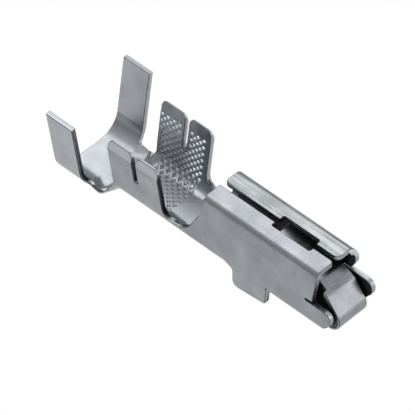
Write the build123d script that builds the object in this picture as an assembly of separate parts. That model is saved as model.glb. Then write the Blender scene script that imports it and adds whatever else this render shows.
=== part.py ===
"""Female crimp terminal for a 2.8 x 0.8 mm flat tab, folded from one strip.

The terminal lies along X with its mating end at +X. From the rear it has an
insulation barrel, a low neck, a wire barrel with two pairs of wings, a low
waist and a spring box. The box floor runs out at the front, curls up and
turns back inside the box as the contact tongue. Sizes are in millimetres.
The model is drawn with X = 0 at the front edge of the box roof and Z = 0 at
the underside of the box floor, and is moved to its own base centre at the end.
"""

import os
from math import cos, pi, sin, tan

from build123d import *

# The strip and the flat tab that it takes
SHEET = 0.40
MATING_WIDTH = 2.8
MATING_THICKNESS = 0.8
SIDE_PLAY = 0.16
TOP_PLAY = 0.08

# Lengths along X, from the front of the box roof to the rear end
BOX_LENGTH = 10.7
WAIST_LENGTH = 3.5
WIRE_LENGTH = 4.85
NECK_LENGTH = 2.3
INSULATION_LENGTH = 2.55

# Insulation barrel
INSULATION_DROP = 1.06
INSULATION_HALF_FLOOR = 1.1
INSULATION_BEND = 2.3
INSULATION_FLARE = 8.5
INSULATION_HEIGHT = 6.81

# Neck between the barrels, a shallow spoon that rises under the wire barrel
NECK_HALF_FLOOR = 1.52
NECK_HALF_WIDTH = 2.6
NECK_REAR_CORNER = 0.45
NECK_RISE = 1.95
NECK_HEEL = 0.65
NECK_SIDE_HEIGHT = 0.8
NECK_SIDE_RUN = 0.55
NECK_CORNER = 0.4

# Wire barrel
WIRE_HALF_FLOOR = 1.03
WIRE_BEND = 1.36
WIRE_FLARE = 8.0
WIRE_HEIGHT = 5.68
WING_CORNER = 0.6
WING_TIP = 0.14
WING_BEVEL = 0.75
SLIT_SETBACK = 2.33
SLIT_WIDTH = 0.36
SLIT_FLOOR = 2.9

# Knurl of small pits inside the wire barrel
PIT_PITCH = 0.58
PIT_SIDE = 0.3
PIT_DEPTH = 0.1
PIT_FLAT = 0.04
PIT_MARGIN = 0.22
PIT_TOP_MARGIN = 0.85
PIT_FRONT_MARGIN = 0.5

# Waist between the wire barrel and the box
WAIST_SIDE_HEIGHT = 1.0
WAIST_REAR_CORNER = 0.9
WAIST_FRONT_RUN = 1.5
WAIST_FRONT_CORNER = 1.2
BOX_REAR_RAKE = 0.35
BOX_REAR_BREAK = 2.0
BOX_REAR_CORNER = 2.0

# Spring box
BOX_HEIGHT = 5.18
BOX_TOP_BEND = 0.63
BOX_BOTTOM_BEND = 0.45
SEAM_GAP = 0.47
WINDOW_LENGTH = 3.55
WINDOW_SETBACK = 1.9
WINDOW_STEP = 0.15
WINDOW_WIDTH = 1.25
WINDOW_CORNER = 0.15
LIP_WIDTH = 0.58
LIP_SETBACK = 0.6
LIP_BLEND = 0.5
REAR_FLANGE_CORNER = 0.35
LEFT_FLANGE_CORNER = 0.55
RIGHT_FLANGE_CORNER = 0.25

# Side wall fronts and the ears below them; left is +Y, right is -Y
LEFT_WALL_FRONT = 0.4
LEFT_WALL_RAKE = 0.5
LEFT_WALL_SHOULDER = 1.15
LEFT_EAR_HEIGHT = 3.05
LEFT_EAR_REACH = 1.98
LEFT_EAR_CHIN = 2.0
RIGHT_WALL_FRONT = 0.0
RIGHT_WALL_RAKE = 0.42
RIGHT_WALL_SHOULDER = 0.63
RIGHT_EAR_HEIGHT = 1.97
RIGHT_EAR_REACH = 1.36
RIGHT_EAR_CHIN = 1.0
EAR_FOOT = 0.45
EAR_CORNER = 0.65
EAR_RELIEF = 0.5
EAR_RELIEF_WIDTH = 0.2

# Locking tabs below the box
TAB_SETBACK = 4.72
TAB_LENGTH = 3.18
TAB_REAR_DEPTH = 1.6
TAB_FRONT_DEPTH = 1.3
TAB_HEEL = 1.0
TAB_HEEL_CORNER = 0.55
TAB_REAR_CORNER = 0.5
TAB_FRONT_CORNER = 0.3

# Nose and contact tongue, measured on the strip's outer side
NOSE_REACH = 1.72
NOSE_BEND = 1.02
TONGUE_WIDTH = 2.8
NOTCH_FRONT = 0.15
NOTCH_LENGTH = 0.9
NOTCH_DEPTH = 0.35
NOTCH_CORNER = 0.12
RAMP_ANGLE = 52
RAMP_RUN = 1.47
CREST_SETBACK = 0.6
CREST_BELOW_ROOF = 1.31
CONTACT_SETBACK = 3.3
TONGUE_END_SETBACK = 5.1
TONGUE_END_DROP = 0.35
RAMP_BREAK = 1.0
CREST_BREAK = 0.4
CONTACT_BREAK = 1.5

# Stations and levels that follow from the sizes above
BOX_REAR = -BOX_LENGTH
WIRE_FRONT = BOX_REAR - WAIST_LENGTH
WIRE_REAR = WIRE_FRONT - WIRE_LENGTH
SLIT_X = WIRE_FRONT - SLIT_SETBACK
INSULATION_FRONT = WIRE_REAR - NECK_LENGTH
REAR_END = INSULATION_FRONT - INSULATION_LENGTH
BOX_HALF_WIDTH = MATING_WIDTH / 2 + SIDE_PLAY + SHEET
ROOF_INSIDE = BOX_HEIGHT - SHEET
CONTACT_HEIGHT = ROOF_INSIDE - MATING_THICKNESS - TOP_PLAY
LIP_DROP = TOP_PLAY
FRONT_END = max(LEFT_EAR_REACH, RIGHT_EAR_REACH, NOSE_REACH)
RISE_FRONT = WIRE_REAR + NECK_HEEL
RISE_REAR = RISE_FRONT - NECK_RISE

# Cutting tools reach past everything that they cut
REACH = 2 * INSULATION_HEIGHT
MARGIN = 1.0
LOFT_STEPS = 6
NECK_STOCK = INSULATION_DROP + WIRE_BEND + MARGIN


def across(x):
    """Plane square to the length at station x, with local axes Y and Z."""
    return Plane(origin=(x, 0, 0), x_dir=(0, 1, 0), z_dir=(1, 0, 0))


def through_width(outline, width=2 * REACH):
    """Solid of a given width about the middle, from an outline drawn in X and Z."""
    return extrude(Plane.XZ * outline, width / 2, both=True)


def channel_section(x, base, half_floor, bend, flare, height):
    """U-shaped section of the strip: floor, two bends and two flared walls."""
    lean = flare * pi / 180
    middle = (pi / 2 + lean) / 2
    out = Vector(cos(lean), -sin(lean))
    centre = Vector(half_floor, base + bend)
    halfway = Vector(cos(middle), -sin(middle))
    foot = centre + out * bend
    tip = foot + Vector(tan(lean), 1) * (base + height - foot.Y)
    inner_foot = centre + out * (bend - SHEET)
    half = (
        ThreePointArc((half_floor, base), centre + halfway * bend, foot)
        + Line(foot, tip)
        + Line(tip, tip - out * SHEET)
        + Line(tip - out * SHEET, inner_foot)
        + ThreePointArc(inner_foot, centre + halfway * (bend - SHEET), (half_floor, base + SHEET))
    )
    floor = Line((-half_floor, base), (half_floor, base))
    floor += Line((-half_floor, base + SHEET), (half_floor, base + SHEET))
    return across(x) * make_face(half + mirror(half, about=Plane.YZ) + floor)


def eased(start, end, share):
    """Value on a soft S-curve from start to end."""
    return start + (end - start) * share * share * (3 - 2 * share)


def transition(x_from, x_to, sizes_at):
    """Channel between two stations, with its section sizes given by a function of x."""
    step = (x_to - x_from) / LOFT_STEPS
    stations = [x_from + step * number for number in range(LOFT_STEPS + 1)]
    return loft([channel_section(x, *sizes_at(x)) for x in stations])


def insulation_barrel():
    """Tall open wings that grip the wire's covering."""
    sizes = (-INSULATION_DROP, INSULATION_HALF_FLOOR, INSULATION_BEND, INSULATION_FLARE)
    return extrude(channel_section(REAR_END, *sizes, INSULATION_HEIGHT), INSULATION_LENGTH)


def floor_level(x):
    """Underside of the floor, which rises from the neck to the wire barrel."""
    share = (x - RISE_REAR) / NECK_RISE
    return eased(-INSULATION_DROP, 0, min(max(share, 0), 1))


def neck_rear_sizes(x):
    """Section sizes where the neck's floor widens behind the rise."""
    share = (x - INSULATION_FRONT) / (RISE_REAR - INSULATION_FRONT)
    half_floor = eased(INSULATION_HALF_FLOOR, NECK_HALF_FLOOR, share)
    return (-INSULATION_DROP, half_floor, INSULATION_BEND, INSULATION_FLARE, NECK_STOCK)


def heel_sizes(x):
    """Section sizes of the lowered heel, whose walls stay in line with the wings."""
    level = floor_level(x)
    half_floor = WIRE_HALF_FLOOR + level * tan(WIRE_FLARE * pi / 180)
    return (level, half_floor, WIRE_BEND, WIRE_FLARE, WIRE_HEIGHT - level)


def neck_rise_sizes(x):
    """Section sizes on the rise, from the neck to the heel of the wire barrel."""
    share = (x - RISE_REAR) / (WIRE_REAR - RISE_REAR)
    low = neck_rear_sizes(RISE_REAR)
    high = heel_sizes(WIRE_REAR)
    middle = [eased(low[item], high[item], share) for item in (1, 2, 3)]
    return (floor_level(x), *middle, NECK_STOCK)


def neck():
    """Floor that flattens out behind the wire barrel and then steps up to it."""
    rear = transition(INSULATION_FRONT, RISE_REAR, neck_rear_sizes)
    return rear + transition(RISE_REAR, WIRE_REAR, neck_rise_sizes)


def neck_cut():
    """Space above and beside the neck's low sides."""
    edge = -INSULATION_DROP + NECK_SIDE_HEIGHT
    top = WIRE_HEIGHT + MARGIN
    side = FilletPolyline(
        (INSULATION_FRONT, top),
        (INSULATION_FRONT, edge),
        (WIRE_REAR - NECK_SIDE_RUN, edge),
        (WIRE_REAR, WIRE_BEND - SHEET),
        (WIRE_REAR, top),
        radius=NECK_CORNER,
    )
    above = through_width(make_face(side + Line((WIRE_REAR, top), (INSULATION_FRONT, top))))
    middle = (INSULATION_FRONT + WIRE_REAR) / 2
    beside = Pos(middle, NECK_HALF_WIDTH + REACH / 2) * Rectangle(NECK_LENGTH, REACH)
    rear_corner = beside.vertices().sort_by(Axis.X)[:2].sort_by(Axis.Y)[0]
    beside = extrude(fillet(rear_corner, NECK_REAR_CORNER), REACH, both=True)
    return above + beside + mirror(beside, about=Plane.XZ)


def wing_bevel():
    """Wedges that coin the outer side of the wire wings down to a thin tip."""
    lean = WIRE_FLARE * pi / 180
    out = Vector(cos(lean), -sin(lean))
    up = Vector(sin(lean), cos(lean))
    foot = Vector(WIRE_HALF_FLOOR, WIRE_BEND) + out * WIRE_BEND
    tip = foot + up * ((WIRE_HEIGHT - foot.Y) / cos(lean))
    thin = tip - out * (SHEET - WING_TIP)
    outline = Polyline(tip - up * WING_BEVEL, thin, thin + up, tip + up + out, tip + out, close=True)
    solid = extrude(across(WIRE_REAR) * make_face(outline), WIRE_LENGTH)
    return solid + mirror(solid, about=Plane.XZ)


def wing_corners():
    """Corners to cut away so that each wing has a rounded end."""
    edges = (
        (WIRE_REAR, 1),
        (SLIT_X - SLIT_WIDTH / 2, -1),
        (SLIT_X + SLIT_WIDTH / 2, 1),
        (WIRE_FRONT, -1),
    )
    square = Rectangle(WING_CORNER, WING_CORNER + MARGIN)
    corner = Pos(WING_CORNER / 2, (MARGIN - WING_CORNER) / 2) * square
    corner -= Pos(WING_CORNER, -WING_CORNER) * Circle(WING_CORNER)
    tip_height = WIRE_HEIGHT + SHEET * sin(WIRE_FLARE * pi / 180)
    cuts = []
    for x, way in edges:
        outline = corner if way > 0 else mirror(corner, about=Plane.YZ)
        cuts.append(through_width(Pos(x, tip_height) * outline))
    return cuts


def slit():
    """Slit that parts the front wings from the rear ones."""
    height = WIRE_HEIGHT + MARGIN - SLIT_FLOOR
    outline = Pos(SLIT_X, SLIT_FLOOR + height / 2) * SlotOverall(height, SLIT_WIDTH, rotation=90)
    return through_width(outline)


def barrel_inside(distance):
    """Point and normal on the inner wire barrel, by distance along it from the middle."""
    lean = WIRE_FLARE * pi / 180
    side = 1 if distance >= 0 else -1
    run = abs(distance)
    bend = WIRE_BEND - SHEET
    turn = min(max((run - WIRE_HALF_FLOOR) / bend, 0), pi / 2 - lean)
    up = max(run - WIRE_HALF_FLOOR - bend * turn, 0)
    if turn == 0:
        return Vector(0, distance, SHEET), Vector(0, 0, 1)
    y = WIRE_HALF_FLOOR + bend * sin(turn) + up * cos(turn)
    z = WIRE_BEND - bend * cos(turn) + up * sin(turn)
    return Vector(0, side * y, z), Vector(0, -side * sin(turn), cos(turn))


def pit():
    """Small pyramid that presses one pit, point down, with its widest part above the sheet."""
    above = PIT_DEPTH / 2
    slope = (PIT_SIDE - PIT_FLAT) / PIT_DEPTH
    wide = PIT_SIDE + slope * above
    low = (wide - PIT_FLAT) / 2
    high = (wide + PIT_FLAT) / 2
    point = Wedge(wide, PIT_DEPTH + above, wide, low, low, high, high)
    return Pos(0, 0, (above - PIT_DEPTH) / 2) * Rot(0, 0, 45) * Rot(-90, 0, 0) * point


def knurl():
    """Staggered rows of pits, clear of the wings' edges, the slit and the lowered heel."""
    press = pit()
    row_gap = PIT_PITCH / 2
    wall = (WIRE_HEIGHT - PIT_TOP_MARGIN - WIRE_BEND) / cos(WIRE_FLARE * pi / 180)
    reach = WIRE_HALF_FLOOR + (WIRE_BEND - SHEET) * (pi / 2 - WIRE_FLARE * pi / 180) + wall
    rows = int(reach / row_gap)
    pits = []
    for row in range(-rows, rows + 1):
        point, normal = barrel_inside(row * row_gap)
        rear = WIRE_REAR if point.Z > WIRE_BEND else RISE_FRONT
        x = WIRE_REAR + PIT_MARGIN + (row % 2) * row_gap
        while x < WIRE_FRONT - PIT_FRONT_MARGIN:
            clear_of_slit = abs(x - SLIT_X) > SLIT_WIDTH / 2 + PIT_MARGIN
            if x > rear and (clear_of_slit or point.Z < SLIT_FLOOR - PIT_MARGIN):
                place = Plane(origin=(x, point.Y, point.Z), x_dir=(1, 0, 0), z_dir=normal)
                pits.append(place * press)
            x += PIT_PITCH
    return pits


def wire_barrel():
    """Two pairs of crimp wings on one floor, split by a narrow slit."""
    sizes = (0, WIRE_HALF_FLOOR, WIRE_BEND, WIRE_FLARE, WIRE_HEIGHT)
    barrel = extrude(channel_section(RISE_FRONT, *sizes), WIRE_FRONT - RISE_FRONT)
    barrel += transition(WIRE_REAR, RISE_FRONT, heel_sizes)
    return barrel - wing_bevel() - slit() - wing_corners() - knurl()


def waist_sizes(x):
    """Section sizes that pass from the wire barrel to the box."""
    share = (x - WIRE_FRONT) / WAIST_LENGTH
    half_floor = eased(WIRE_HALF_FLOOR, BOX_HALF_WIDTH - BOX_BOTTOM_BEND, share)
    bend = eased(WIRE_BEND, BOX_BOTTOM_BEND, share)
    return (0, half_floor, bend, eased(WIRE_FLARE, 0, share), BOX_HEIGHT - BOX_TOP_BEND)


def waist():
    """Floor and sides that pass from the wire barrel to the box."""
    return transition(WIRE_FRONT, BOX_REAR, waist_sizes)


def waist_cut():
    """Space above the waist's low sides, up to the raked rear edge of the box walls."""
    top = BOX_HEIGHT + MARGIN
    side = FilletPolyline(
        (WIRE_FRONT, top),
        (WIRE_FRONT, WAIST_SIDE_HEIGHT),
        (BOX_REAR - WAIST_FRONT_RUN, WAIST_SIDE_HEIGHT),
        (BOX_REAR - BOX_REAR_RAKE, BOX_HEIGHT - BOX_REAR_BREAK),
        (BOX_REAR, BOX_HEIGHT - BOX_TOP_BEND / 2),
        (BOX_REAR, top),
        radius=[WAIST_REAR_CORNER, WAIST_FRONT_CORNER, BOX_REAR_CORNER, BOX_TOP_BEND / 6],
    )
    return through_width(make_face(side + Line((BOX_REAR, top), (WIRE_FRONT, top))))


def box_outline(inset):
    """Rounded outline of the box section, inset by a given amount."""
    height = BOX_HEIGHT - 2 * inset
    face = Pos(0, BOX_HEIGHT / 2) * Rectangle(2 * (BOX_HALF_WIDTH - inset), height)
    face = fillet(face.vertices().group_by(Axis.Y)[-1], BOX_TOP_BEND - inset)
    return fillet(face.vertices().group_by(Axis.Y)[0], BOX_BOTTOM_BEND - inset)


def lip_section(x, drop):
    """Section of the inner part of the left roof flange, which bends down to the seam."""
    seam = SEAM_GAP / 2
    crease = seam + LIP_WIDTH
    outline = Polyline(
        (crease, BOX_HEIGHT),
        (seam, BOX_HEIGHT - drop),
        (seam, ROOF_INSIDE - drop),
        (crease, ROOF_INSIDE),
        close=True,
    )
    return across(x) * make_face(outline)


def lip():
    """Left flange lip, flat at the rear end and bent down from there to the front."""
    start = BOX_REAR + LIP_SETBACK
    flat = extrude(lip_section(BOX_REAR, 0), LIP_SETBACK)
    blend = loft([lip_section(start, 0), lip_section(start + LIP_BLEND, LIP_DROP)])
    bent = extrude(lip_section(start + LIP_BLEND, LIP_DROP), -start - LIP_BLEND)
    return flat + blend + bent


def box_shell():
    """Box with its two roof flanges, as long as the longest thing at its front."""
    face = box_outline(0) - box_outline(SHEET)
    opening = SEAM_GAP + LIP_WIDTH
    face -= Pos(LIP_WIDTH / 2, BOX_HEIGHT) * Rectangle(opening, 3 * SHEET)
    return extrude(across(BOX_REAR) * face, FRONT_END - BOX_REAR) + lip()


def roof_cut(outline):
    """Cut straight down through the roof only."""
    return Pos(0, 0, ROOF_INSIDE - SHEET / 2) * extrude(outline, 2 * SHEET)


def window():
    """Inspection window that straddles the seam, a little shorter in the left flange."""
    rear = -WINDOW_SETBACK - WINDOW_LENGTH
    halves = []
    for side, length in ((1, WINDOW_LENGTH - WINDOW_STEP), (-1, WINDOW_LENGTH)):
        opening = Pos(rear + length / 2, 0) * Rectangle(length, WINDOW_WIDTH)
        opening = fillet(opening.vertices(), WINDOW_CORNER)
        half = Pos(0, side * WINDOW_WIDTH / 2) * Rectangle(REACH, WINDOW_WIDTH)
        halves.append(roof_cut(opening & half))
    return halves


def flange_corner(x, way, side, bend):
    """Rounded corner where the end of a roof flange meets the seam."""
    y = side * SEAM_GAP / 2
    square = Pos(x - way * bend / 2, y + side * bend / 2) * Rectangle(bend, bend)
    return roof_cut(square - Pos(x - way * bend, y + side * bend) * Circle(bend))


def roof_front():
    """Everything of the roof that lies in front of X = 0."""
    width = 2 * (BOX_HALF_WIDTH - BOX_TOP_BEND)
    return roof_cut(Pos(REACH / 2, 0) * Rectangle(REACH, width))


def wall_front(side, front, rake, shoulder, ear_height, ear_reach, chin):
    """Space in front of one side wall, its relief slot, its ear and the roof bend above it."""
    top = BOX_HEIGHT + MARGIN
    edge = FilletPolyline(
        (EAR_FOOT, -MARGIN),
        (EAR_FOOT, 0),
        (ear_reach, chin),
        (ear_reach, ear_height),
        (front - rake, ear_height),
        (front, BOX_HEIGHT - shoulder),
        (front, top),
        radius=[EAR_CORNER, EAR_CORNER, EAR_CORNER, SHEET / 8, SHEET / 2],
    )
    far = ear_reach + FRONT_END + MARGIN
    frame = Polyline((front, top), (far, top), (far, -MARGIN), (EAR_FOOT, -MARGIN))
    bend_foot = BOX_HEIGHT - BOX_TOP_BEND
    brow = Polyline((0, top), (0, BOX_HEIGHT), (front, bend_foot), (far, bend_foot), (far, top), close=True)
    relief = SlotCenterToCenter(2 * EAR_RELIEF, EAR_RELIEF_WIDTH)
    relief = Pos(front - rake, ear_height + EAR_RELIEF_WIDTH / 2) * relief
    cut = through_width(make_face(edge + frame)) + through_width(make_face(brow)) + through_width(relief)
    half = Pos(0, side * REACH / 2, 0) * Box(4 * REACH, REACH, 4 * REACH)
    return cut & half


def tab_opening():
    """Floor and bends that the two tabs are made from."""
    box = Box(TAB_LENGTH, 2 * (BOX_HALF_WIDTH + MARGIN), 2 * BOX_BOTTOM_BEND)
    return Pos(-TAB_SETBACK - TAB_LENGTH / 2, 0, 0) * box


def locking_tabs():
    """Pair of tabs that hang from the side walls, with a curved heel behind."""
    top = BOX_BOTTOM_BEND
    front = -TAB_SETBACK
    rear = front - TAB_LENGTH
    outline = FilletPolyline(
        (rear - TAB_HEEL, top),
        (rear, 0),
        (rear, -TAB_REAR_DEPTH),
        (front, -TAB_FRONT_DEPTH),
        (front, top),
        radius=[TAB_HEEL_CORNER, TAB_REAR_CORNER, TAB_FRONT_CORNER],
    )
    outline += Line((front, top), (rear - TAB_HEEL, top))
    tab = Pos(0, BOX_HALF_WIDTH, 0) * extrude(make_face(Plane.XZ * outline), SHEET)
    return tab + mirror(tab, about=Plane.XZ)


def spring_box():
    """Folded box with its seam, window, ears and locking tabs."""
    box = box_shell() - window() - roof_front() - tab_opening()
    box -= flange_corner(BOX_REAR, -1, 1, REAR_FLANGE_CORNER)
    box -= flange_corner(0, 1, 1, LEFT_FLANGE_CORNER)
    box -= flange_corner(0, 1, -1, RIGHT_FLANGE_CORNER)
    left_ear = (LEFT_EAR_HEIGHT, LEFT_EAR_REACH, LEFT_EAR_CHIN)
    right_ear = (RIGHT_EAR_HEIGHT, RIGHT_EAR_REACH, RIGHT_EAR_CHIN)
    box -= wall_front(1, LEFT_WALL_FRONT, LEFT_WALL_RAKE, LEFT_WALL_SHOULDER, *left_ear)
    box -= wall_front(-1, RIGHT_WALL_FRONT, RIGHT_WALL_RAKE, RIGHT_WALL_SHOULDER, *right_ear)
    return box + locking_tabs()


def tongue_path():
    """Middle line of the strip from the floor, round the nose and back into the box."""
    lean = RAMP_ANGLE * pi / 180
    mid = SHEET / 2
    bend = NOSE_BEND - mid
    ramp_foot = Vector(NOSE_REACH - NOSE_BEND + bend * sin(lean), NOSE_BEND + bend * cos(lean))
    nose_corner = ramp_foot.X + (ramp_foot.Y - mid) / tan(lean)
    knee = ramp_foot + Vector(-cos(lean), sin(lean)) * RAMP_RUN
    crest_z = ROOF_INSIDE - CREST_BELOW_ROOF - mid
    contact_z = CONTACT_HEIGHT - mid
    return FilletPolyline(
        (-CREST_SETBACK, mid),
        (nose_corner, mid),
        knee,
        (-CREST_SETBACK, crest_z),
        (-CONTACT_SETBACK, contact_z),
        (-TONGUE_END_SETBACK, contact_z - TONGUE_END_DROP),
        radius=[bend, RAMP_BREAK, CREST_BREAK, CONTACT_BREAK],
    )


def strip_notch():
    """Rounded relief in the right edge of the strip, where it passes over the crest."""
    outline = fillet(Rectangle(NOTCH_LENGTH, 2 * NOTCH_DEPTH).vertices(), NOTCH_CORNER)
    place = Pos(NOTCH_FRONT - NOTCH_LENGTH / 2, -TONGUE_WIDTH / 2)
    return extrude(place * outline, REACH, both=True)


def tongue():
    """Strip that makes the nose, the lead-in ramp and the contact spring."""
    return through_width(trace(tongue_path(), SHEET), TONGUE_WIDTH) - strip_notch()


def terminal():
    """The whole terminal, one folded piece."""
    rear = insulation_barrel() + neck() - neck_cut()
    middle = wire_barrel() + (waist() - waist_cut())
    front = spring_box() - waist_cut() + tongue()
    return rear + middle + front


def at_base_centre(solid):
    """Move the solid so that the middle of its underside is the origin."""
    box = solid.bounding_box()
    middle = (box.min + box.max) / 2
    return Pos(-middle.X, -middle.Y, -box.min.Z) * solid


os.makedirs("parts", exist_ok=True)
part = at_base_centre(terminal())
export_step(part, "parts/female_terminal.step")
print("volume", round(part.volume, 2), "box", part.bounding_box())
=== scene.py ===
# %% [markdown]
# # A female crimp terminal, dressed for its picture
# The real object is one strip of tin-plated copper alloy, about 26 mm long, cut and
# folded by a press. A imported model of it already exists, with its true sizes. This
# lesson loads that model, gives its cut edges the small roundings that a press leaves,
# gives it metal that looks plated and sheared, and lights it like a product picture.

import math

import bpy
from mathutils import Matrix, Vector
from mathutils.bvhtree import BVHTree
from mathutils.kdtree import KDTree


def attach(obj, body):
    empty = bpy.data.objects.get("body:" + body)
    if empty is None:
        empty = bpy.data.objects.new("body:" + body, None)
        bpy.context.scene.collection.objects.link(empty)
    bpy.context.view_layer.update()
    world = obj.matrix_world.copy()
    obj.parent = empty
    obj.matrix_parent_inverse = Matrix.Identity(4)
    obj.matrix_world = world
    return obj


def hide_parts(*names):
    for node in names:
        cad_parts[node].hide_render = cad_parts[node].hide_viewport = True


MM = 0.001

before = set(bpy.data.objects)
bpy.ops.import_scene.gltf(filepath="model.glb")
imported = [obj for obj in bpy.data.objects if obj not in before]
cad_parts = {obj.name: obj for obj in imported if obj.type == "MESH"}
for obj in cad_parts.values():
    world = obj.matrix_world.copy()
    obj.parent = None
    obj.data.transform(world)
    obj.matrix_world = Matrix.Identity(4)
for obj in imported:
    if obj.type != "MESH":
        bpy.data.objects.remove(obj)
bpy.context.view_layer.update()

# %% [markdown]
# Blender's tools act on everything that is selected, so each step starts from a clean
# selection. Edges of a few hundredths of a millimetre are also too fine for some tools
# when the unit is the metre. The work is done on a copy that is a thousand times
# larger, and the copy is brought back to its real size at the end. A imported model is
# made of loose triangles, so corners that lie on one spot are merged first.

# %% A copy of the strip to work on
ENLARGED = 1000.0
SAME_SPOT = 0.0005


def only(thing):
    """Make one object the only selected one, and the active one."""
    bpy.ops.object.select_all(action="DESELECT")
    thing.select_set(True)
    bpy.context.view_layer.objects.active = thing


def edit(thing):
    """Open an object in edit mode with everything selected."""
    only(thing)
    bpy.ops.object.mode_set(mode="EDIT")
    bpy.ops.mesh.select_all(action="SELECT")


cad_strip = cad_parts["female_terminal"]
strip = bpy.data.objects.new("stamped_strip", cad_strip.data.copy())
bpy.context.scene.collection.objects.link(strip)
only(strip)
bpy.ops.transform.resize(value=(ENLARGED,) * 3, center_override=(0, 0, 0))
bpy.ops.object.transform_apply(location=False, rotation=False, scale=True)
edit(strip)
bpy.ops.mesh.remove_doubles(threshold=SAME_SPOT)
bpy.ops.mesh.customdata_custom_splitnormals_clear()
bpy.ops.object.mode_set(mode="OBJECT")
print("copied strip:", len(strip.data.polygons), "triangles after merging")

# %% [markdown]
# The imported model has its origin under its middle. The sizes below are easier to read
# along the strip from the front edge of the roof and up from the box's underside, so
# one shift turns a place in the model into a place on the strip.

# %% Places on the strip, in millimetres
ORIGIN_SHIFT = Vector((10.96, 0.0, 1.5506))
BOX_REAR = -10.7
WIRE_FRONT = -14.2
WIRE_REAR = -19.05
WING_TOPS = 5.0
BEVEL_ZONE = 4.3
ROOF = 4.6


def on_strip(place):
    """Place measured from the roof's front edge and the box's underside."""
    return place - ORIGIN_SHIFT


# %% [markdown]
# The loose end of the contact tongue shows in the window of the roof. In the picture
# it curls up a little and mirrors the light that falls in through the window, so its
# last two millimetres are lifted here by up to 0.8 mm.

# %% Curled end of the tongue
CURL_FROM = -3.3
CURL_LENGTH = 1.85
CURL_RISE = 0.8
TONGUE_TIP = -5.6
TONGUE_HALF_WIDTH = 1.43


def on_tongue(place, front, low, high):
    """Whether a place is on the tongue, behind a station and between two heights."""
    in_reach = TONGUE_TIP < place.x < front and abs(place.y) < TONGUE_HALF_WIDTH
    return in_reach and low < place.z < high


lifted = 0
for vertex in strip.data.vertices:
    place = on_strip(vertex.co)
    if on_tongue(place, CURL_FROM, 2.4, 4.4):
        vertex.co.z += CURL_RISE * ((CURL_FROM - place.x) / CURL_LENGTH) ** 2
        lifted += 1
print("corners lifted:", lifted)

# %% [markdown]
# A press leaves two kinds of surface. The two wide sides of the strip keep their tin,
# and the narrow sides, where the punch went through, are freshly torn metal. They can
# be told apart by thickness: behind a wide side there is only the strip's 0.4 mm,
# and behind a cut side there is much more. A ray sent into the metal from each
# face measures this, which is surer than picking faces by hand. A flat area is made of
# many triangles, so its triangles vote, each with its own area, for the whole area.
# First come two helpers that find such areas.

# %% Groups of faces


def sharing_edges(mesh):
    """Faces at each edge of a mesh."""
    found = {}
    for face in mesh.polygons:
        for key in face.edge_keys:
            found.setdefault(key, []).append(face.index)
    return found


def patches(mesh, members, limit):
    """Groups of faces joined by edges that turn by less than a limit in degrees."""
    beside = sharing_edges(mesh)
    normals = [face.normal.copy() for face in mesh.polygons]
    waiting, groups = set(members), []
    while waiting:
        group, reached = set(), {waiting.pop()}
        while reached:
            face = reached.pop()
            group.add(face)
            for key in mesh.polygons[face].edge_keys:
                for other in waiting.intersection(beside[key]):
                    if normals[face].angle(normals[other], 0.0) < math.radians(limit):
                        reached.add(other)
            waiting -= reached
        groups.append(group)
    return groups


print("pairs of faces that share an edge:", len(sharing_edges(strip.data)))

# %% Plated faces and cut faces
SHEET = 0.40
THICKER = 1.25 * SHEET
JUST_INSIDE = 0.002
FLAT_LIMIT = 1.0
PLATED, SHEARED = 0, 1


def metal_behind(solid, face):
    """Thickness of metal behind a face, in millimetres."""
    start = face.center - face.normal * JUST_INSIDE
    hit = solid.ray_cast(start, -face.normal)
    return hit[3] if hit[0] is not None else 0.0


strip.data.materials.clear()
for name in ("tin_plated_strip", "sheared_edge"):
    strip.data.materials.append(bpy.data.materials.new(name))
polygons = strip.data.polygons
solid = BVHTree.FromPolygons(
    [v.co for v in strip.data.vertices], [tuple(p.vertices) for p in polygons]
)
for patch in patches(strip.data, range(len(polygons)), FLAT_LIMIT):
    votes = 0.0
    for f in patch:
        thick = metal_behind(solid, polygons[f]) > THICKER
        votes += polygons[f].area if thick else -polygons[f].area
    for f in patch:
        polygons[f].material_index = SHEARED if votes > 0 else PLATED
print("triangles of cut faces:", sum(p.material_index for p in polygons))

# %% [markdown]
# Triangles that lie in one plane and are of one kind are joined into one face. The
# bevel tool then meets only edges that are really there.

# %% One face for each flat area
edit(strip)
bpy.ops.mesh.dissolve_limited(angle_limit=math.radians(0.4), delimit={"MATERIAL"})
bpy.ops.object.mode_set(mode="OBJECT")
print("cut faces:", sum(p.material_index for p in strip.data.polygons))

# %% [markdown]
# The plated faces form two skins, one on each side of the strip. A walk from face to
# face over shared edges that don't turn sharply finds them. The skins tell later how
# deep in the cut a point lies, because the upper part of a cut shines and the lower
# part is torn.

# %% The two skins of the strip
SKIN_LIMIT = 60.0
polygons = strip.data.polygons
corners = [v.co.copy() for v in strip.data.vertices]


def half_width(skin):
    """Greatest distance of a group of faces from the strip's middle."""
    return max(abs(corners[v].y) for f in skin for v in polygons[f].vertices)


plated = [p.index for p in polygons if p.material_index == PLATED]
skins = patches(strip.data, plated, SKIN_LIMIT)
skins.sort(key=lambda skin: sum(polygons[f].area for f in skin))
inner, outer = sorted(skins[-2:], key=half_width)
outer_skin = BVHTree.FromPolygons(corners, [tuple(polygons[f].vertices) for f in outer])
inner_skin = BVHTree.FromPolygons(corners, [tuple(polygons[f].vertices) for f in inner])
print("skins of", [len(skin) for skin in skins[-4:]], "faces")

# %% [markdown]
# Where two plated faces meet at an angle, most edges only follow a rounded bend and
# must shade softly. A few are real creases: the sides of the small pits in the wire
# barrel, the lower edge of the coined wing tips and the fold in the roof. A crease can
# be told by its place and by how sharply it turns.

# %% Creases that stay crisp
CREASES = {"roof": 4.0, "wing tips": 15.0, "wire barrel": 27.0, "elsewhere": 38.0}


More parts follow.
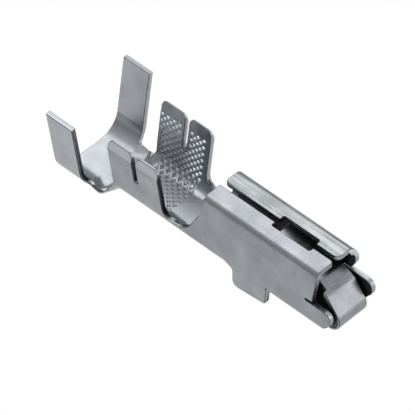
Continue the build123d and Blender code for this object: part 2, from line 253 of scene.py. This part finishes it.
def least_turn(place):
    """Angle from which an edge at a place counts as a crease."""
    if place.z > ROOF and place.x > BOX_REAR and abs(place.y) < 1.2:
        return CREASES["roof"]
    in_barrel = WIRE_REAR - 0.05 < place.x < WIRE_FRONT + 0.05
    if in_barrel and place.z > BEVEL_ZONE:
        return CREASES["wing tips"]
    return CREASES["wire barrel" if in_barrel else "elsewhere"]


print("a crease turns by at least, in degrees:", CREASES)

# %% [markdown]
# The edges between the two kinds are where the punch first drew the metal down. On the
# real part they are rounded by a few hundredths of a millimetre, and each one catches
# a thin line of light. Where faces are very narrow the bevel tool can throw a corner far
# out. So the bevel is first tried on a spare mesh, the edges near a thrown corner are
# left sharp, and it is tried again until no corner strays from its rim. The rim is
# kept as a row of close spots, in which the nearest one is quickly found.

# %% The rim that the punch left
SPOT_STEP = 0.02
rounded = set()
faces_at = sharing_edges(strip.data)
for edge in strip.data.edges:
    if len({polygons[f].material_index for f in faces_at[edge.key]}) > 1:
        rounded.add(edge.index)
spots = []
for index in rounded:
    start, end = [corners[v] for v in strip.data.edges[index].vertices]
    count = max(2, int((end - start).length / SPOT_STEP))
    spots += [(start.lerp(end, i / (count - 1)), index) for i in range(count)]
rim = KDTree(len(spots))
for spot, index in spots:
    rim.insert(spot, index)
rim.balance()
print("edges on the rim:", len(rounded), "with", len(spots), "spots")

# %% Rounded edges where the punch went through
DIE_ROLL = 0.055
STRAY = 1.7 * DIE_ROLL
NEAR_STRAY = 1.2 * DIE_ROLL
MOST_TRIES = 8


def bevel(mesh, chosen):
    """Round the chosen edges of the strip's mesh, and list the corners that strayed."""
    strip.data = mesh
    edit(strip)
    bpy.ops.mesh.select_mode(type="EDGE")
    bpy.ops.mesh.select_all(action="DESELECT")
    bpy.ops.object.mode_set(mode="OBJECT")
    for index in chosen:
        mesh.edges[index].select = True
    bpy.ops.object.mode_set(mode="EDIT")
    bpy.ops.mesh.bevel(
        offset=DIE_ROLL, segments=2, profile=0.5, clamp_overlap=False, material=SHEARED
    )
    bpy.ops.object.mode_set(mode="OBJECT")
    return {v.index for v in mesh.vertices if v.select and rim.find(v.co)[2] > STRAY}


unrounded = strip.data
for attempt in range(MOST_TRIES):
    mesh = unrounded.copy()
    strays = bevel(mesh, rounded)
    print("try", attempt + 1, "with", len(rounded), "edges:", len(strays), "corners strayed")
    if not strays:
        break
    beside_strays = {
        v for e in mesh.edges if strays & set(e.vertices) for v in e.vertices if v not in strays
    }
    for v in beside_strays:
        near = rim.find_range(mesh.vertices[v].co, NEAR_STRAY)
        rounded -= {index for _, index, _ in near}
print("rounded strip:", len(mesh.polygons), "faces,", len(rounded), "rounded edges")

# %% [markdown]
# The bends are shaded smooth, and the creases that were found before are marked sharp
# on the mesh with its rounded edges.

# %% Smooth bends and crisp creases
only(strip)
bpy.ops.object.shade_smooth_by_angle(angle=math.radians(CREASES["elsewhere"]))
kept = 0
faces_at = sharing_edges(mesh)
for edge in mesh.edges:
    beside = [mesh.polygons[f] for f in faces_at[edge.key]]
    if len(beside) == 2 and all(f.material_index == PLATED for f in beside):
        start, end = [mesh.vertices[v].co for v in edge.vertices]
        turn = math.degrees(beside[0].normal.angle(beside[1].normal, 0.0))
        if turn > least_turn(on_strip(start.lerp(end, 0.5))):
            edge.use_edge_sharp = True
            kept += 1
print("crisp creases:", kept)

# %% [markdown]
# A wide flat face has corners all round its outline. Split straight into triangles, it
# would show a fan of long splinters that catch the light as thin lines. A few straight
# cuts across the outside of the walls, which leave their shape alone, keep them short.

# %% Straight cuts across the walls
CUTS = [("X", -1.4), ("X", -2.6), ("X", -4.9), ("X", -6.9), ("Z", 1.7), ("Z", 3.3)]
OUTSIDE_OF_WALL = 1.9
LEAST_WALL = 1.0
for axis, station in CUTS:
    along = Vector((axis == "X", 0, axis == "Z"))
    edit(strip)
    bpy.ops.mesh.select_mode(type="FACE")
    bpy.ops.mesh.select_all(action="DESELECT")
    bpy.ops.object.mode_set(mode="OBJECT")
    for face in strip.data.polygons:
        outside = abs(face.center.y) > OUTSIDE_OF_WALL and abs(face.normal.y) > 0.99
        wall = outside and face.area > LEAST_WALL and face.material_index == PLATED
        face.select = wall and len(face.vertices) > 4
    bpy.ops.object.mode_set(mode="EDIT")
    bpy.ops.mesh.bisect(plane_co=ORIGIN_SHIFT + along * station, plane_no=along)
    bpy.ops.object.mode_set(mode="OBJECT")
print("faces after the cuts:", len(strip.data.polygons))

# %% [markdown]
# Smooth shading alone would smear light over the wide flat faces beside each narrow
# rounding. Weighted normals let the large faces win, so the bends stay round and run
# into the flats. The wide flats themselves then get their own direction at every
# corner, so that no stray shade runs far across them.

# %% Flat flats
WIDE_FLAT = 3.0
PIECE_OF_WALL = 0.3
weighted = strip.modifiers.new("flat_faces_win", "WEIGHTED_NORMAL")
weighted.keep_sharp = True
weighted.weight = 80
bpy.ops.object.modifier_apply(modifier=weighted.name)
mesh = strip.data
normals = [tuple(corner.vector) for corner in mesh.corner_normals]
flats = 0
for face in mesh.polygons:
    cut_from_wall = abs(face.normal.y) > 0.9999 and face.area > PIECE_OF_WALL
    if face.area > WIDE_FLAT or cut_from_wall:
        flats += 1
        for corner in face.loop_indices:
            normals[corner] = tuple(face.normal)
mesh.normals_split_custom_set(normals)
print("wide flats:", flats)

# %% [markdown]
# Two numbers per corner describe the cut for the metal's look. The first is the depth in the cut,
# from 0 at the outer skin to 1 at the inner one. The second says where the cut is drawn bright all
# through, on the tips of the wings, on the far wings and at the edges of the mouth: partly for a
# second trim with a tight punch, and partly as a painted highlight.

# %% Depth in the cut, and the bright cuts
for name in ("cut_depth", "bright_cut"):
    mesh.attributes.new(name, "FLOAT", "POINT")
depth, bright = [mesh.attributes[name].data for name in ("cut_depth", "bright_cut")]
for vertex in mesh.vertices:
    from_outer = outer_skin.find_nearest(vertex.co)[3]
    from_inner = inner_skin.find_nearest(vertex.co)[3]
    depth[vertex.index].value = from_outer / max(from_outer + from_inner, 1e-6)
    place = on_strip(vertex.co)
    # Bright cuts on the wing tips, the far wings and the mouth: partly a second trim, partly
    # painted highlight.
    on_wings = place.x < WIRE_FRONT + 0.1
    wing_tip = on_wings and place.z > WING_TOPS
    far_wing = on_wings and place.y > 1.0
    mouth = place.x > -0.9 and (abs(place.y) > 1.5 or place.z > ROOF)
    bright[vertex.index].value = float(wing_tip or far_wing or mouth)
print("bright corners:", sum(d.value > 0.5 for d in bright), "of", len(mesh.vertices))

# %% [markdown]
# The tin's tone is changed in four ways. The tips of the wire wings, the small pits in the barrel
# and the tongue are drawn brighter as painted highlights, partly also for tin that was squeezed at
# the tips and pits. The insulation barrel and the inside from there to the box are drawn lighter,
# by less, as painted light. The roof was dragged through the tools and shows lines along the
# strip, and its far part is drawn darker as painted shade. The inside of the box and the bend of
# the far insulation wing get painted shade, and the crest of the nose is scuffed across. Each face
# keeps a number from 0 to 1 for each of these, and one small function tells it.

# %% Painted light and squeezed faces
PIT_SLOPE = math.radians(20)
NECK_MIDDLE = WIRE_REAR - 1.5
WAIST_REAR = WIRE_FRONT - 0.4
WAIST_FRONT = BOX_REAR + 0.4


def skin_near(face):
    """Direction in which the strip's outer skin looks near a face."""
    return outer_skin.find_nearest(face.center)[1]


def faces_out(face):
    """Whether a face looks the same way as the outer skin near it."""
    return face.normal.dot(skin_near(face)) > 0


def squeezed_and_lit(face):
    """How much painted light a face gets, partly for tin squeezed at the wing tips and pits."""
    place, outward = on_strip(face.center), faces_out(face)
    inside = not outward and face.material_index == PLATED
    pit = inside and face.normal.angle(-skin_near(face)) > PIT_SLOPE
    tip = outward and place.z > BEVEL_ZONE and face.normal.z > 0.05
    # Painted light: the whole insulation barrel is drawn lighter, and by less the inside from the
    # wire barrel to the box.
    if place.x < NECK_MIDDLE:
        return 0.5
    if inside and not pit and WIRE_REAR < place.x < WAIST_FRONT and place.z < ROOF:
        return 0.6 if place.x > WAIST_REAR else 0.3
    # Painted highlights on the coined wing tips, the pits and the tongue, partly for tin squeezed
    # at the tips and pits.
    in_barrel = WIRE_REAR < place.x < WIRE_FRONT
    tongue = on_tongue(place, -3.0, 2.6, 4.6) and face.normal.z > 0.5
    return float((in_barrel and (tip or pit)) or tongue)


print("a pit's side slopes by at least, in degrees:", round(math.degrees(PIT_SLOPE)))

# %% Dragged faces, painted shade and scuffed faces
NECK_REAR = WIRE_REAR - 2.0
BEND_HEIGHT = 0.9
BEND_SPREAD = 0.65


def dragged_and_shaded(face):
    """Whether a face is on the dragged part of the roof, whose darker tone is painted shade."""
    place = on_strip(face.center)
    on_roof = place.x > BOX_REAR and place.z > ROOF and face.normal.z > 0.5
    return float(on_roof and place.y > -0.3)


def painted_shade(face):
    """How much painted shade a face gets: all over inside the box, and by less at the bend of the
    far insulation wing.
    """
    place = on_strip(face.center)
    # Painted shade at the bend of the far insulation wing, and all over the inside of the box.
    if place.x < NECK_REAR and place.y > 0.8 and not faces_out(face):
        return 0.45 * math.exp(-(((place.z - BEND_HEIGHT) / BEND_SPREAD) ** 2))
    in_box = BOX_REAR < place.x < -1.2 and 0.38 < place.z < 4.9 and abs(place.y) < 1.63
    return float(in_box and (abs(place.y) > 1.47 or place.z < 0.6 or place.z > 4.55))


def scuffed(face):
    """Whether a face is on the crest of the nose."""
    place = on_strip(face.center)
    on_nose = -1.6 < place.x < 0.9 and abs(place.y) < 1.45 and 2.3 < place.z < 4.2
    return float(on_nose and face.normal.z > 0.2)


TREATMENTS = {"squeezed_and_lit": squeezed_and_lit, "dragged_and_shaded": dragged_and_shaded, "painted_shade": painted_shade, "scuffed": scuffed}
for name, measure in TREATMENTS.items():
    numbers = [measure(face) for face in mesh.polygons]
    mesh.attributes.new(name, "FLOAT", "FACE").data.foreach_set("value", numbers)
    print(name, "faces:", sum(number > 0 for number in numbers))

# %% [markdown]
# The flat faces still have dozens of corners. A renderer would cut them into
# needle-like triangles, so they are cut here into better shaped ones. The shading that
# was worked out above is kept.

# %% Well-shaped triangles
only(strip)
cutter = strip.modifiers.new("well_shaped", "TRIANGULATE")
cutter.min_vertices = 5
cutter.ngon_method = "BEAUTY"
cutter.keep_custom_normals = True
bpy.ops.object.modifier_apply(modifier=cutter.name)
print("faces after cutting:", len(strip.data.polygons))

# %% [markdown]
# The copy goes back to its real size, rides on the body that it belongs to and takes
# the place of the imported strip.

# %% Real size again
only(strip)
bpy.ops.transform.resize(value=(1 / ENLARGED,) * 3, center_override=(0, 0, 0))
bpy.ops.object.transform_apply(location=False, rotation=False, scale=True)
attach(strip, "root")
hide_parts("female_terminal")
print("strip size, mm:", [round(d / MM, 3) for d in strip.dimensions])

# %% [markdown]
# Colours are written as they look on a screen, and one function turns them to the
# linear values that the shader needs. A second small function adds a shader node with
# its settings and links, and a third gives a texture scale from a size in millimetres.

# %% Helpers for materials


def colour(code):
    """Linear colour from a screen colour such as #9a9da1."""
    parts = [int(code[i : i + 2], 16) / 255 for i in (1, 3, 5)]
    return (*[c / 12.92 if c <= 0.04045 else ((c + 0.055) / 1.055) ** 2.4 for c in parts], 1.0)


def add_node(tree, kind, settings=None, links=None):
    """Add a shader node, set its values, and link sockets to its inputs."""
    node = tree.nodes.new(kind)
    for name, value in (settings or {}).items():
        if isinstance(name, int) or name in node.inputs:
            node.inputs[name].default_value = value
        else:
            setattr(node, name, value)
    for name, socket in (links or {}).items():
        tree.links.new(socket, node.inputs[name])
    return node


def repeats(size_mm):
    """Texture scale at which one repeat is this many millimetres."""
    return 1 / (size_mm * MM)


def set_stops(ramp, stops):
    """Give a colour ramp its stops, as pairs of a position and a screen colour."""
    elements = ramp.color_ramp.elements
    while len(elements) < len(stops):
        elements.new(1.0)
    for element, (position, code) in zip(elements, stops):
        element.position = position
        element.color = colour(code)


def blank(material):
    """Empty node tree of a material."""
    material.use_nodes = True
    material.node_tree.nodes.clear()
    return material.node_tree


print("linear value of the screen grey #808080:", round(colour("#808080")[0], 3))

# %% [markdown]
# Tin plate on a copper alloy is a soft, slightly cloudy metal. It is laid on bright but
# the press tools rub it, so it shows cloudy patches two millimetres across, a fine
# grain, faint lines along the strip and a satin gloss. The real grain and lines are a
# few hundredths of a millimetre wide and too fine for a picture of this size, so they
# are drawn at 0.12 and 0.22 mm. First comes the pattern, as one grey value.

# %% Tin plate, its pattern
tin = strip.data.materials[PLATED]
t = blank(tin)
place = add_node(t, "ShaderNodeTexCoord").outputs["Object"]
marks = {
    name: add_node(t, "ShaderNodeAttribute", {"attribute_name": name}).outputs["Fac"]
    for name in TREATMENTS
}
along = add_node(t, "ShaderNodeMapping", {"Scale": (0.04, 1.0, 1.0)}, {"Vector": place})
clouds = add_node(
    t,
    "ShaderNodeTexNoise",
    {"Scale": repeats(2.2), "Detail": 5.0, "Roughness": 0.55},
    {"Vector": place},
)
grain = add_node(
    t, "ShaderNodeTexNoise", {"Scale": repeats(0.12), "Detail": 2.0}, {"Vector": place}
)
lines = add_node(
    t, "ShaderNodeTexNoise", {"Scale": repeats(0.22), "Detail": 4.0}, {"Vector": along.outputs[0]}
)
drag = add_node(
    t, "ShaderNodeMapRange", {"To Min": 0.06, "To Max": 0.6}, {"Value": marks["dragged_and_shaded"]}
)
cloudy = add_node(
    t,
    "ShaderNodeMix",
    {},
    {"Factor": drag.outputs[0], 2: clouds.outputs["Fac"], 3: lines.outputs["Fac"]},
)
mottle = add_node(
    t, "ShaderNodeMix", {"Factor": 0.16}, {2: cloudy.outputs[0], 3: grain.outputs["Fac"]}
)
print("tin pattern of clouds, grain and lines")

# %% [markdown]
# The pattern picks the tin's colour from a narrow range of greys, with a wider and darker one on
# the dragged roof, where the lines are the tin's own and the darker tone is painted shade. Short
# dark scuffs are laid over the nose. Painted light, partly for squeezed tin, then draws the tin
# towards a lighter grey, and painted shade draws it towards a darker one.

# %% Tin plate, its colour
tint = add_node(t, "ShaderNodeValToRGB", {}, {"Fac": mottle.outputs[0]})
set_stops(tint, ((0.36, "#86898e"), (0.64, "#989b9f")))
# Darker range on the dragged roof: painted shade over the tin's own lines.
worn_and_shaded = add_node(t, "ShaderNodeValToRGB", {}, {"Fac": mottle.outputs[0]})
set_stops(worn_and_shaded, ((0.36, "#6c7073"), (0.60, "#9c9fa1")))
tint = add_node(
    t,
    "ShaderNodeMix",
    {"data_type": "RGBA"},
    {0: marks["dragged_and_shaded"], 6: tint.outputs[0], 7: worn_and_shaded.outputs[0]},
)
across = add_node(t, "ShaderNodeMapping", {"Scale": (1.0, 0.12, 1.0)}, {"Vector": place})
streaks = add_node(
    t, "ShaderNodeTexNoise", {"Scale": repeats(0.13), "Detail": 3.0}, {"Vector": across.outputs[0]}
)
scuffs = add_node(
    t,
    "ShaderNodeMapRange",
    {"From Min": 0.52, "From Max": 0.66, "To Max": 0.42},
    {"Value": streaks.outputs["Fac"]},
)
marks["scuffed"] = add_node(
    t, "ShaderNodeMath", {"operation": "MULTIPLY"}, {0: scuffs.outputs[0], 1: marks["scuffed"]}
).outputs[0]
# Scuffs darken the nose, painted light lightens the tin and painted shade darkens it.
for name, code in (("scuffed", "#54585b"), ("squeezed_and_lit", "#a9adb2"), ("painted_shade", "#3c4043")):
    settings = {"data_type": "RGBA", 7: colour(code)}
    tint = add_node(t, "ShaderNodeMix", settings, {0: marks[name], 6: tint.outputs[2]})
print("tin colours for:", ", ".join(marks))

# %% [markdown]
# Where the pattern is light, the tin is also a little glossier, and a very shallow bump
# breaks up the reflections.

# %% Tin plate, its gloss
gloss = add_node(
    t,
    "ShaderNodeMapRange",
    {"From Min": 0.35, "From Max": 0.65, "To Min": 0.40, "To Max": 0.30},
    {"Value": mottle.outputs[0]},
)
bump = add_node(
    t, "ShaderNodeBump", {"Strength": 0.12, "Distance": 0.004 * MM}, {"Height": mottle.outputs[0]}
)
shader = add_node(
    t,
    "ShaderNodeBsdfPrincipled",
    {"Metallic": 1.0},
    {"Base Color": tint.outputs[2], "Roughness": gloss.outputs[0], "Normal": bump.outputs[0]},
)
add_node(t, "ShaderNodeOutputMaterial", {}, {"Surface": shader.outputs[0]})
print("made", tin.name)

# %% [markdown]
# A sheared face has a thin rounded rim, drawn dark as painted shade, then a narrow band that the
# punch burnished, then torn metal that is dark and rough, with a lighter line near the inner skin
# as a painted highlight on the burr. Where a cut is drawn bright, partly for a second trim and
# partly as a painted highlight, it is bright nearly all through, with fine lines along it and
# painted shade at both rims. The depth in the cut picks a grey from a row of stops, and a slow
# waver keeps the bands from being ruler-straight.

# %% Sheared edge, its bands
sheared = strip.data.materials[SHEARED]
t = blank(sheared)
place = add_node(t, "ShaderNodeTexCoord").outputs["Object"]
deep = add_node(t, "ShaderNodeAttribute", {"attribute_name": "cut_depth"}).outputs["Fac"]
trimmed_and_lit = add_node(t, "ShaderNodeAttribute", {"attribute_name": "bright_cut"}).outputs["Fac"]
waver = add_node(
    t, "ShaderNodeTexNoise", {"Scale": repeats(0.35), "Detail": 3.0}, {"Vector": place}
)
shift = add_node(
    t, "ShaderNodeMapRange", {"To Min": -0.08, "To Max": 0.08}, {"Value": waver.outputs["Fac"]}
)
level = add_node(t, "ShaderNodeMath", {"operation": "ADD"}, {0: deep, 1: shift.outputs[0]})
# Painted shade on the rim (first two stops) and a painted highlight on the burr (stop at 0.9).
TORN = (
    (0.0, "#3c4044"),
    (0.10, "#50555a"),
    (0.17, "#a8acaf"),
    (0.28, "#8d9194"),
    (0.38, "#3a3e42"),
    (0.74, "#2c3034"),
    (0.9, "#72777b"),
    (1.0, "#5a5e62"),
)
# Painted highlight all through, partly a second trim, with painted shade at both rims (first and
# last stops).
NEAT_AND_LIT = (
    (0.0, "#4a4e52"),
    (0.12, "#85898c"),
    (0.3, "#b0b4b7"),
    (0.45, "#83878a"),
    (0.6, "#adb1b4"),
    (0.75, "#85898c"),
    (0.88, "#a0a4a7"),
    (1.0, "#4a4e52"),
)
bands = []
for stops in (TORN, NEAT_AND_LIT):
    bands.append(add_node(t, "ShaderNodeValToRGB", {}, {"Fac": level.outputs[0]}))
    set_stops(bands[-1], stops)
tint = add_node(
    t,
    "ShaderNodeMix",
    {"data_type": "RGBA"},
    {0: trimmed_and_lit, 6: bands[0].outputs[0], 7: bands[1].outputs[0]},
)
print("bands of a torn cut:", len(TORN), "and of a neat one:", len(NEAT_AND_LIT))

# %% [markdown]
# Torn metal is rougher the deeper it lies, and it has a grain. The real grain is finer
# than the picture can show, so it is drawn at 0.1 mm.

# %% Sheared edge, its gloss
grain = add_node(
    t, "ShaderNodeTexNoise", {"Scale": repeats(0.1), "Detail": 3.0}, {"Vector": place}
)
gloss = add_node(t, "ShaderNodeMapRange", {"To Min": 0.30, "To Max": 0.50}, {"Value": deep})
bump = add_node(
    t,
    "ShaderNodeBump",
    {"Strength": 0.3, "Distance": 0.005 * MM},
    {"Height": grain.outputs["Fac"]},
)
shader = add_node(
    t,
    "ShaderNodeBsdfPrincipled",
    {"Metallic": 1.0},
    {"Base Color": tint.outputs[2], "Roughness": gloss.outputs[0], "Normal": bump.outputs[0]},
)
add_node(t, "ShaderNodeOutputMaterial", {}, {"Surface": shader.outputs[0]})
print("made", sheared.name)

# %% [markdown]
# The camera stands where the photographer's did, worked out from points of the object
# in the picture: 46 degrees above the floor, 44 degrees round from the side, with a
# long lens. It is put there by its distance along the line of sight and two small
# steps across it.

# %% Camera
AZIMUTH = math.radians(43.71)
ELEVATION = math.radians(46.07)
DISTANCE = 357.4
STEP_RIGHT = -8.773
STEP_UP = 7.185
LENS = 449.6

right = Vector((math.cos(AZIMUTH), math.sin(AZIMUTH), 0.0))
flat_part = math.cos(ELEVATION)
back = Vector(
    (math.sin(AZIMUTH) * flat_part, -math.cos(AZIMUTH) * flat_part, math.sin(ELEVATION))
)
up = back.cross(right)
eye = ORIGIN_SHIFT + right * STEP_RIGHT + up * STEP_UP + back * DISTANCE
bpy.ops.object.camera_add(location=eye * MM)
camera = bpy.context.active_object
camera.rotation_mode = "QUATERNION"
camera.rotation_quaternion = back.to_track_quat("Z", "Y")
camera.data.lens = LENS
camera.data.clip_start = 0.01
camera.data.clip_end = 10.0
bpy.context.scene.camera = camera
print("camera at, mm:", [round(v, 1) for v in eye])

# %% [markdown]
# The floor is white to the camera and in reflections, and a plain pale grey to all
# other light, so it gives a white background without washing the metal out.

# %% Floor
bpy.ops.mesh.primitive_plane_add(size=4.0, location=(0, 0, 0))
floor = bpy.context.active_object
floor.name = "floor"
paper = bpy.data.materials.new("matt_white_paper")
floor.data.materials.append(paper)
t = blank(paper)
path = add_node(t, "ShaderNodeLightPath")
seen = path.outputs["Is Camera Ray"]
for ray in ("Is Glossy Ray", "Is Transmission Ray"):
    either = add_node(
        t, "ShaderNodeMath", {"operation": "MAXIMUM"}, {0: seen, 1: path.outputs[ray]}
    )
    seen = either.outputs[0]
matt = add_node(t, "ShaderNodeBsdfDiffuse", {"Color": colour("#d9dadb")})
white = add_node(t, "ShaderNodeEmission", {"Color": colour("#ffffff"), "Strength": 1.0})
mix = add_node(
    t, "ShaderNodeMixShader", {}, {0: seen, 1: matt.outputs[0], 2: white.outputs[0]}
)
add_node(t, "ShaderNodeOutputMaterial", {}, {"Surface": mix.outputs[0]})
print("made", paper.name)

# %% [markdown]
# The room is dim near the floor and brighter overhead. Upright faces then mirror a
# darker room than faces that look up, which gives the folded metal its contrast.

# %% Room
world = bpy.data.worlds.new("studio")
bpy.context.scene.world = world
t = blank(world)
facing = add_node(t, "ShaderNodeTexCoord").outputs["Generated"]
height = add_node(t, "ShaderNodeSeparateXYZ", {}, {0: facing}).outputs["Z"]
glow = add_node(
    t,
    "ShaderNodeMapRange",
    {"From Min": 0.0, "From Max": 0.9, "To Min": 0.3, "To Max": 0.85},
    {"Value": height},
)
room = add_node(
    t, "ShaderNodeBackground", {"Color": colour("#ffffff")}, {"Strength": glow.outputs[0]}
)
add_node(t, "ShaderNodeOutputWorld", {}, {"Surface": room.outputs[0]})
print("made", world.name)

# %% [markdown]
# Metal shows what stands round it, so the lamps are large soft panels placed where the
# object's faces look: one behind and above for the roof of the box, one low in front
# for its mouth, and a small one at the side that picks out the pits in the barrel. A
# panel's power grows with its area, so its strength says how bright the panel looks.

# %% Lamps
FROM_OBJECT = 400


def panel(name, direction, size_mm, strength):
    """Soft square lamp that looks at the object from a given direction."""
    where = Vector(direction).normalized() * FROM_OBJECT * MM
    bpy.ops.object.light_add(type="AREA", location=where)
    lamp = bpy.context.active_object
    lamp.name = name
    lamp.rotation_mode = "QUATERNION"
    lamp.rotation_quaternion = where.to_track_quat("Z", "Y")
    lamp.data.shape = "SQUARE"
    lamp.data.size = size_mm * MM
    lamp.data.energy = strength * math.pi * lamp.data.size**2
    lamp.visible_camera = False
    print("hung", name, "of", size_mm, "mm")


panel("roof_panel", (-0.48, 0.28, 0.82), 400, 1.6)
panel("front_panel", (0.82, 0.48, 0.34), 260, 1.8)
panel("side_panel", (0.35, -0.885, 0.31), 110, 4.0)

# %% [markdown]
# The plain view transform shows each colour about as it was written.

# %% Plain view settings and the end
bpy.context.scene.view_settings.view_transform = "Standard"
